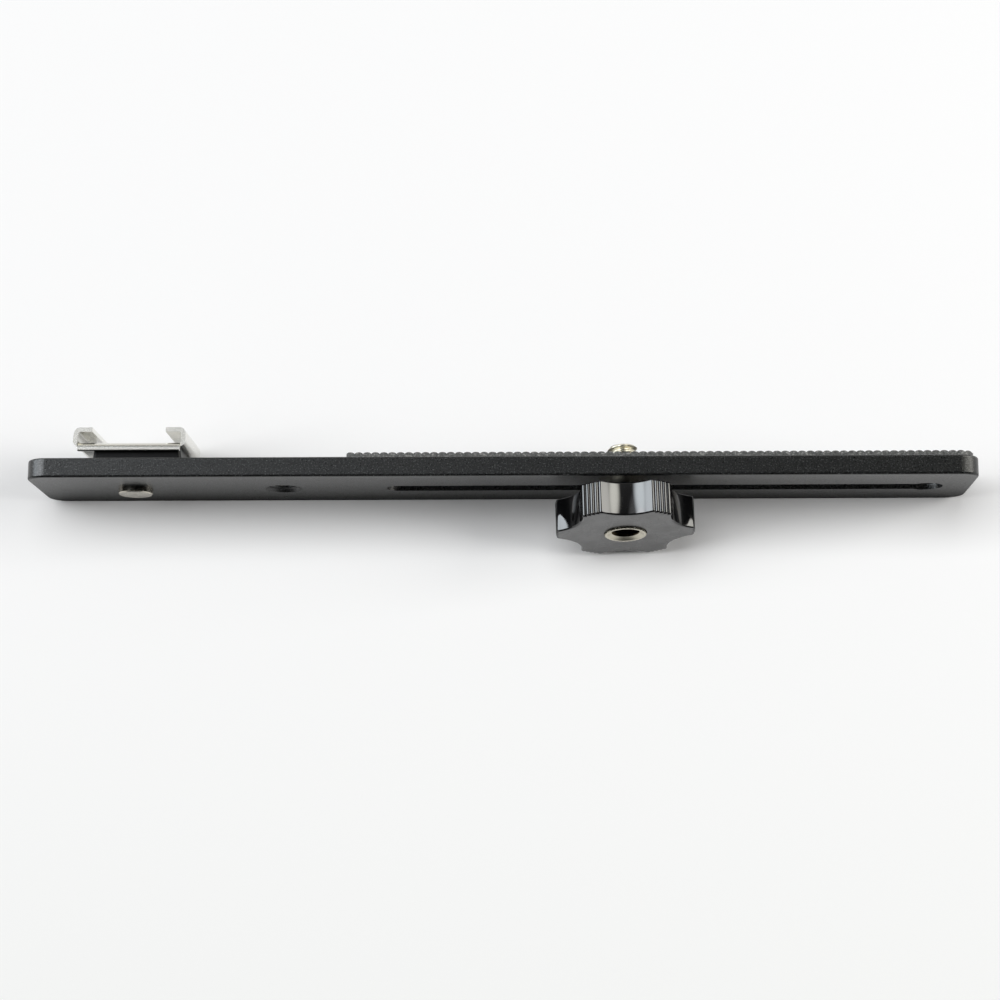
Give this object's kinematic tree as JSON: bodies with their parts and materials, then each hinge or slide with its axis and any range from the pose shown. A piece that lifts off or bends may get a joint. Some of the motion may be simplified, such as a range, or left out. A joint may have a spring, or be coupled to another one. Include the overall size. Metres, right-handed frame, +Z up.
{
  "type": "cold shoe extension bar",
  "caption": "Flat black bar with a riveted sheet-metal cold shoe at one end, a tapped hole, and a ribbed pad round a long slot that holds a captive camera screw with a lobed knob.",
  "frame": {"origin": "middle of the long edge that the bar stands on, at mid length and mid thickness", "axes": "+X along the bar from the shoe end to the keyhole end, +Y through its thickness towards the shoe and pad side, +Z up the bar's width"},
  "size_m": [0.19, 0.0227, 0.027],
  "materials": {
    "bar_coat": "satin",
    "grip_rubber": "matte",
    "spacer_black": "matte",
    "shoe_nickel": "gloss",
    "rivet_nickel": "satin",
    "washer_steel": "satin",
    "screw_nickel": "satin",
    "knob_black": "gloss"
  },
  "bodies": {
    "bar": {"bar_plate": "bar_coat", "grip_pad": "grip_rubber", "shoe_spacer": "spacer_black", "cold_shoe": "shoe_nickel", "shoe_rivet": "rivet_nickel"},
    "slider": {"screw_washer": "washer_steel"},
    "knob": {"camera_screw": "screw_nickel", "clamp_knob": "knob_black"}
  },
  "joints": [
    {"name": "screw_slide", "type": "slide", "parent": "bar", "child": "slider", "axis": [1, 0, 0], "range_m": [-0.0455, 0.0615]},
    {"name": "knob_turn", "type": "hinge", "parent": "slider", "child": "knob", "pos_m": [0.02415, 0, 0.01232], "axis": [-0.0276, 0.9891, -0.1444], "continuous": true}
  ]
}
